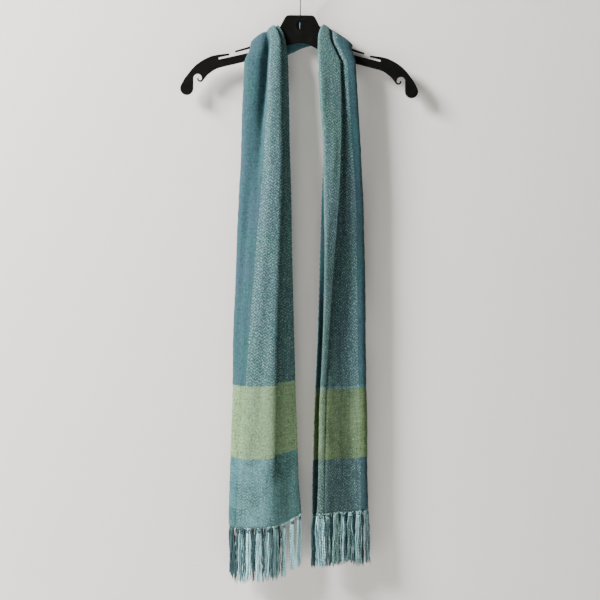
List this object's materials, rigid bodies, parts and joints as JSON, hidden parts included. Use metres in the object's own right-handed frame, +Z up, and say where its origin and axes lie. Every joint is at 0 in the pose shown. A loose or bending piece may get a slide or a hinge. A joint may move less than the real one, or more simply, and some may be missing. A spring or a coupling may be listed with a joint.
{
  "type": "scarf on hanger",
  "caption": "Long woven scarf with green and teal bands and knotted fringes, draped over both arms of a flat black hanger with a wire hook.",
  "frame": {"origin": "top of the inside of the hanger's hook, where a rail bears", "axes": "+Z up out of the hook, +X to the viewer's right, the scarf's front faces -Y"},
  "size_m": [0.4309, 0.0518, 1.1018],
  "materials": {
    "teal_weave": "soft matt hand-woven twill, teal and blue with green bands",
    "fringe_yarn": "loose matt yarn ends in pale and dark teal",
    "matt_black_plastic": "matt black moulded plastic",
    "hook_wire": "dark plain wire"
  },
  "bodies": {
    "root": {"scarf_left_drop": "teal_weave", "scarf_neck": "teal_weave", "scarf_right_drop": "teal_weave", "fringe_left": "fringe_yarn", "fringe_right": "fringe_yarn", "hanger_plate": "matt_black_plastic", "hanger_hook": "hook_wire"}
  },
  "joints": []
}
